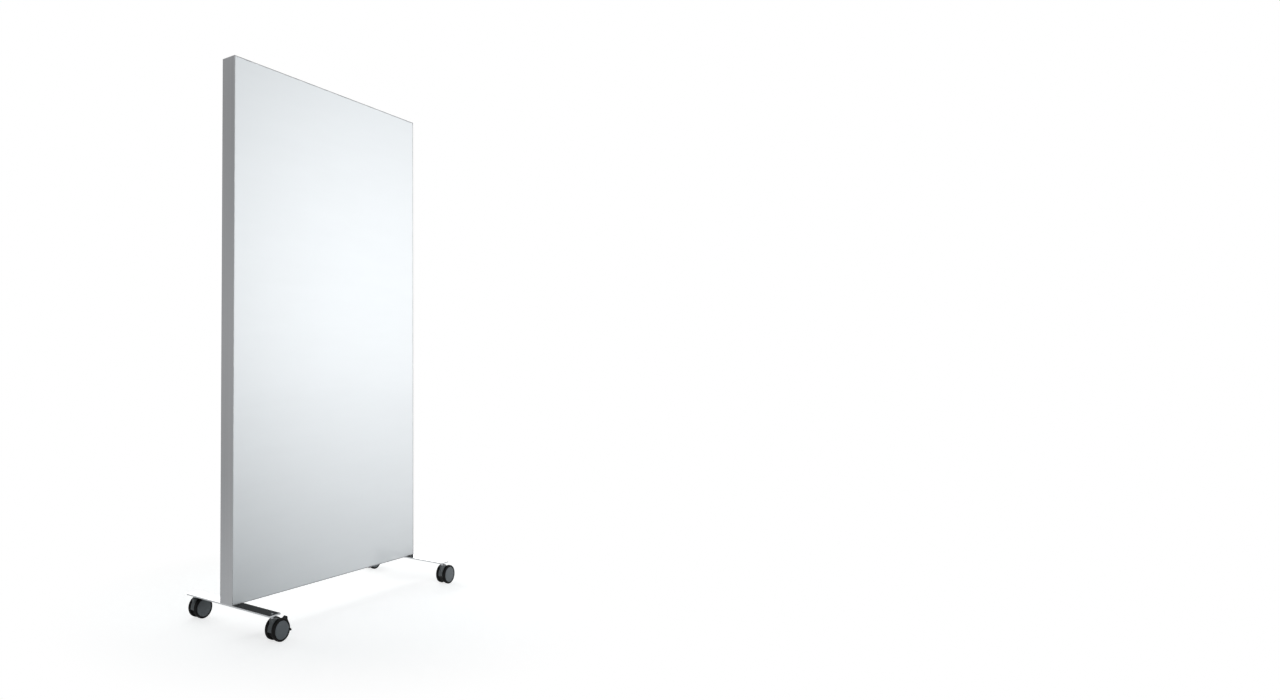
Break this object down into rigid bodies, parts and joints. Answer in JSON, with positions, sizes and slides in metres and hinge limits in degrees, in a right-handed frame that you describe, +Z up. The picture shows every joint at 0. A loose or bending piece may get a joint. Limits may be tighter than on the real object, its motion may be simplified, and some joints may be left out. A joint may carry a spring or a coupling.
{
  "type": "rolling partition",
  "caption": "Free-standing rolling partition: slim aluminium-framed panel with a writing board in front and felt behind, on flat bar feet with twin-wheel swivel casters.",
  "frame": {"origin": "on the floor, under the middle of the panel", "axes": "X runs along the panel, -Y is the writing side, +Y is the felt side, +Z is up"},
  "size_m": [1.0571, 0.4448, 1.96],
  "materials": {
    "frame_aluminium": "satin",
    "cast_keys": "matte",
    "zinc_screws": "satin",
    "absorber_core": "matte",
    "fibreboard": "matte",
    "white_enamel": "gloss",
    "soft_pin_board": "matte",
    "wool_felt": "matte",
    "foot_lacquer": "gloss",
    "spring_steel": "satin",
    "zinc_steel": "satin",
    "hood_nylon": "satin",
    "rim_nylon": "matte",
    "soft_tyre": "matte",
    "hub_cap_plastic": "satin",
    "pedal_nylon": "satin"
  },
  "bodies": {
    "root": {"stile_left": "frame_aluminium", "stile_right": "frame_aluminium", "top_rail": "frame_aluminium", "bottom_rail": "frame_aluminium", "top_corner_keys": "cast_keys", "bottom_corner_blocks": "cast_keys", "corner_screws": "zinc_screws", "panel_core": "absorber_core", "board_backing": "fibreboard", "writing_sheet": "white_enamel", "pin_board": "soft_pin_board", "felt_cover": "wool_felt", "foot_left": "foot_lacquer", "foot_right": "foot_lacquer", "foot_screws": "zinc_screws", "stem_snap_rings": "spring_steel", "stem_left_front": "zinc_steel", "stem_left_back": "zinc_steel", "stem_right_front": "zinc_steel", "stem_right_back": "zinc_steel"},
    "swivel_left_front": {"hood_left_front": "hood_nylon", "axle_left_front": "zinc_steel", "brake_pin_left_front": "zinc_steel"},
    "wheel_left_front_outer": {"rim_left_front_outer": "rim_nylon", "tyre_left_front_outer": "soft_tyre", "hub_cap_left_front_outer": "hub_cap_plastic"},
    "wheel_left_front_inner": {"rim_left_front_inner": "rim_nylon", "tyre_left_front_inner": "soft_tyre", "hub_cap_left_front_inner": "hub_cap_plastic"},
    "pedal_left_front": {"brake_pedal_left_front": "pedal_nylon"},
    "swivel_left_back": {"hood_left_back": "hood_nylon", "axle_left_back": "zinc_steel"},
    "wheel_left_back_outer": {"rim_left_back_outer": "rim_nylon", "tyre_left_back_outer": "soft_tyre", "hub_cap_left_back_outer": "hub_cap_plastic"},
    "wheel_left_back_inner": {"rim_left_back_inner": "rim_nylon", "tyre_left_back_inner": "soft_tyre", "hub_cap_left_back_inner": "hub_cap_plastic"},
    "swivel_right_front": {"hood_right_front": "hood_nylon", "axle_right_front": "zinc_steel"},
    "wheel_right_front_outer": {"rim_right_front_outer": "rim_nylon", "tyre_right_front_outer": "soft_tyre", "hub_cap_right_front_outer": "hub_cap_plastic"},
    "wheel_right_front_inner": {"rim_right_front_inner": "rim_nylon", "tyre_right_front_inner": "soft_tyre", "hub_cap_right_front_inner": "hub_cap_plastic"},
    "swivel_right_back": {"hood_right_back": "hood_nylon", "axle_right_back": "zinc_steel", "brake_pin_right_back": "zinc_steel"},
    "wheel_right_back_outer": {"rim_right_back_outer": "rim_nylon", "tyre_right_back_outer": "soft_tyre", "hub_cap_right_back_outer": "hub_cap_plastic"},
    "wheel_right_back_inner": {"rim_right_back_inner": "rim_nylon", "tyre_right_back_inner": "soft_tyre", "hub_cap_right_back_inner": "hub_cap_plastic"},
    "pedal_right_back": {"brake_pedal_right_back": "pedal_nylon"}
  },
  "joints": [
    {"name": "swivel_left_front", "type": "hinge", "parent": "root", "child": "swivel_left_front", "pos_m": [-0.475, -0.2, 0.06], "axis": [0, 0, 1], "continuous": true},
    {"name": "spin_left_front_outer", "type": "hinge", "parent": "swivel_left_front", "child": "wheel_left_front_outer", "pos_m": [-0.451, -0.2157, 0.0375], "axis": [0, 1, 0], "continuous": true},
    {"name": "spin_left_front_inner", "type": "hinge", "parent": "swivel_left_front", "child": "wheel_left_front_inner", "pos_m": [-0.451, -0.1843, 0.0375], "axis": [0, 1, 0], "continuous": true},
    {"name": "brake_left_front", "type": "hinge", "parent": "swivel_left_front", "child": "pedal_left_front", "pos_m": [-0.43134, -0.2, 0.05127], "axis": [0, 1, 0], "range_deg": [0, 13]},
    {"name": "swivel_left_back", "type": "hinge", "parent": "root", "child": "swivel_left_back", "pos_m": [-0.475, 0.2, 0.06], "axis": [0, 0, 1], "continuous": true},
    {"name": "spin_left_back_outer", "type": "hinge", "parent": "swivel_left_back", "child": "wheel_left_back_outer", "pos_m": [-0.451, 0.2157, 0.0375], "axis": [0, 1, 0], "continuous": true},
    {"name": "spin_left_back_inner", "type": "hinge", "parent": "swivel_left_back", "child": "wheel_left_back_inner", "pos_m": [-0.451, 0.1843, 0.0375], "axis": [0, 1, 0], "continuous": true},
    {"name": "swivel_right_front", "type": "hinge", "parent": "root", "child": "swivel_right_front", "pos_m": [0.475, -0.2, 0.06], "axis": [0, 0, 1], "continuous": true},
    {"name": "spin_right_front_outer", "type": "hinge", "parent": "swivel_right_front", "child": "wheel_right_front_outer", "pos_m": [0.499, -0.2157, 0.0375], "axis": [0, 1, 0], "continuous": true},
    {"name": "spin_right_front_inner", "type": "hinge", "parent": "swivel_right_front", "child": "wheel_right_front_inner", "pos_m": [0.499, -0.1843, 0.0375], "axis": [0, 1, 0], "continuous": true},
    {"name": "swivel_right_back", "type": "hinge", "parent": "root", "child": "swivel_right_back", "pos_m": [0.475, 0.2, 0.06], "axis": [0, 0, 1], "continuous": true},
    {"name": "spin_right_back_outer", "type": "hinge", "parent": "swivel_right_back", "child": "wheel_right_back_outer", "pos_m": [0.499, 0.2157, 0.0375], "axis": [0, 1, 0], "continuous": true},
    {"name": "spin_right_back_inner", "type": "hinge", "parent": "swivel_right_back", "child": "wheel_right_back_inner", "pos_m": [0.499, 0.1843, 0.0375], "axis": [0, 1, 0], "continuous": true},
    {"name": "brake_right_back", "type": "hinge", "parent": "swivel_right_back", "child": "pedal_right_back", "pos_m": [0.51866, 0.2, 0.05127], "axis": [0, 1, 0], "range_deg": [0, 13]}
  ]
}
